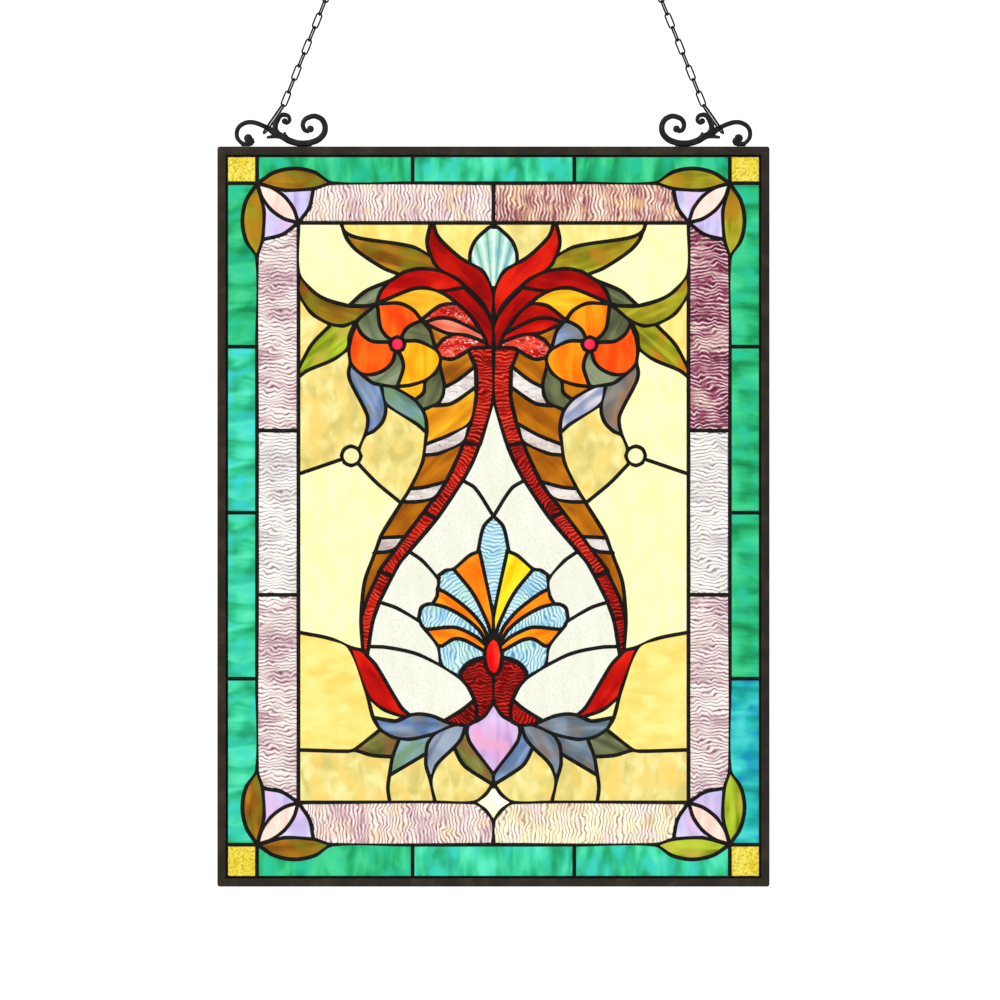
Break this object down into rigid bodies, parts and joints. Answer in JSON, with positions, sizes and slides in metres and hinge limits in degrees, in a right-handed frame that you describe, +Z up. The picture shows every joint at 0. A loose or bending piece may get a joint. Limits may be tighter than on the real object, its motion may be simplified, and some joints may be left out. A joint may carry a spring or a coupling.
{
  "type": "stained glass window panel",
  "caption": "Upright leaded glass panel in a thin metal frame, with scroll brackets and chains to hang it; vase, horns, flowers and palmette inside rippled and green borders.",
  "frame": {"origin": "inside top of the left hanging ring, where a hook carries it", "axes": "+Z up, +X to the viewer's right, -Y out of the panel's front face"},
  "size_m": [0.4572, 0.0094, 0.7678],
  "materials": {
    "dark_frame": "dark bronze patina",
    "solder": "black patina on rounded solder",
    "cast_scroll": "satin black",
    "chain_steel": "dark steel",
    "cream_glass": "streaky amber and cream opalescent",
    "white_glass": "clear granite texture",
    "green_glass": "streaky emerald and teal",
    "yellow_glass": "hammered bright yellow",
    "ripple_glass": "rippled mauve, pink and white opalescent",
    "flower_glass": "olive, peach and lavender streaky pieces",
    "brown_glass": "streaky brown and amber",
    "olive_glass": "streaky olive green",
    "side_leaf_glass": "streaky amber and moss green",
    "petal_glass": "orange, red and olive pieces",
    "red_glass": "streaky and textured red",
    "blue_glass": "streaky slate blue",
    "lavender_glass": "streaky lavender and grey",
    "horn_glass": "orange and amber with pale stripes",
    "dark_red_glass": "rippled dark red",
    "leaf_glass": "slate blue, olive and brown pieces",
    "shell_glass": "pale iridescent",
    "palmette_glass": "rippled pale blue with orange wedges and a red jewel",
    "heart_glass": "lavender pink opalescent",
    "pale_yellow_glass": "pale yellow bevel"
  },
  "bodies": {
    "root": {"blue_leaves_left": "blue_glass", "blue_leaves_right": "lavender_glass", "bottom_leaves_left": "leaf_glass", "bottom_leaves_right": "leaf_glass", "bracket_left": "cast_scroll", "bracket_right": "cast_scroll", "calyx": "dark_red_glass", "chain_left": "chain_steel", "chain_right": "chain_steel", "corner_flower_bottom_left": "flower_glass", "corner_flower_bottom_right": "flower_glass", "corner_flower_top_left": "flower_glass", "corner_flower_top_right": "flower_glass", "cream_corner_left": "cream_glass", "cream_corner_right": "cream_glass", "cream_crown_left": "cream_glass", "cream_crown_right": "cream_glass", "cream_low_left": "cream_glass", "cream_low_right": "cream_glass", "cream_top_left": "cream_glass", "cream_top_right": "cream_glass", "crown_left": "red_glass", "crown_right": "red_glass", "diamond": "pale_yellow_glass", "flower_left": "petal_glass", "flower_right": "petal_glass", "frame": "dark_frame", "green_bottom": "green_glass", "green_left": "green_glass", "green_right": "green_glass", "green_top": "green_glass", "ground_bottom_left": "cream_glass", "ground_bottom_right": "cream_glass", "ground_upper_left": "cream_glass", "ground_upper_right": "cream_glass", "heart": "heart_glass", "horn_left": "horn_glass", "horn_right": "horn_glass", "leaf_top_left": "brown_glass", "leaf_top_right": "olive_glass", "palmette": "palmette_glass", "ribbon_left": "dark_red_glass", "ribbon_right": "dark_red_glass", "ring_left": "chain_steel", "ring_right": "chain_steel", "ripple_bottom": "ripple_glass", "ripple_left": "ripple_glass", "ripple_right": "ripple_glass", "ripple_top": "ripple_glass", "shell": "shell_glass", "side_flame_left": "red_glass", "side_flame_right": "red_glass", "side_leaves_left": "side_leaf_glass", "side_leaves_right": "side_leaf_glass", "solder_net": "solder", "square_bottom_left": "yellow_glass", "square_bottom_right": "yellow_glass", "square_top_left": "yellow_glass", "square_top_right": "yellow_glass", "vase_ground": "white_glass"}
  },
  "joints": []
}
